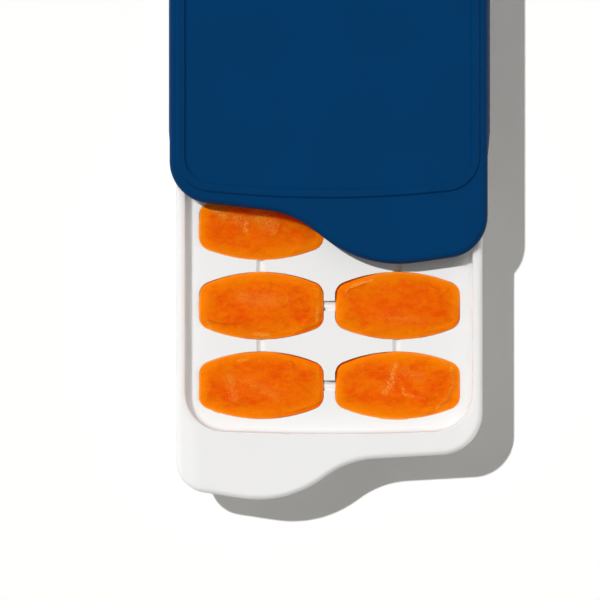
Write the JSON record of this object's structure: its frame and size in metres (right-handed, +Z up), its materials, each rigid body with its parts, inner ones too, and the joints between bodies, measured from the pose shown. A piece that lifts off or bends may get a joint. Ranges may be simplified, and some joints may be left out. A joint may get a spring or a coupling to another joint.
{
  "type": "baby food freezer tray",
  "caption": "Shallow moulded tray with two columns of barrel-shaped wells for frozen food portions, under a flat cover that slides along its rim.",
  "frame": {"origin": "on the surface that the tray stands on, below the middle of tray and cover together, with the cover drawn back as at rest", "axes": "+X across the tray, +Y along it towards the end that the cover is drawn to, +Z up"},
  "size_m": [0.1288, 0.3773, 0.0373],
  "materials": {
    "tray_white": "satin",
    "cover_navy": "satin",
    "frozen_puree": "matte"
  },
  "bodies": {
    "tray": {"freezer_tray": "tray_white", "portion_row1_left": "frozen_puree", "portion_row2_left": "frozen_puree", "portion_row3_left": "frozen_puree", "portion_row4_left": "frozen_puree", "portion_row5_left": "frozen_puree", "portion_row6_left": "frozen_puree", "portion_row7_left": "frozen_puree", "portion_row1_right": "frozen_puree", "portion_row2_right": "frozen_puree", "portion_row3_right": "frozen_puree", "portion_row4_right": "frozen_puree", "portion_row5_right": "frozen_puree", "portion_row6_right": "frozen_puree", "portion_row7_right": "frozen_puree"},
    "cover": {"sliding_cover": "cover_navy"}
  },
  "joints": [
    {"name": "cover_slide", "type": "slide", "parent": "tray", "child": "cover", "axis": [0, 1, 0], "range_m": [-0.0944, 0.115]}
  ]
}
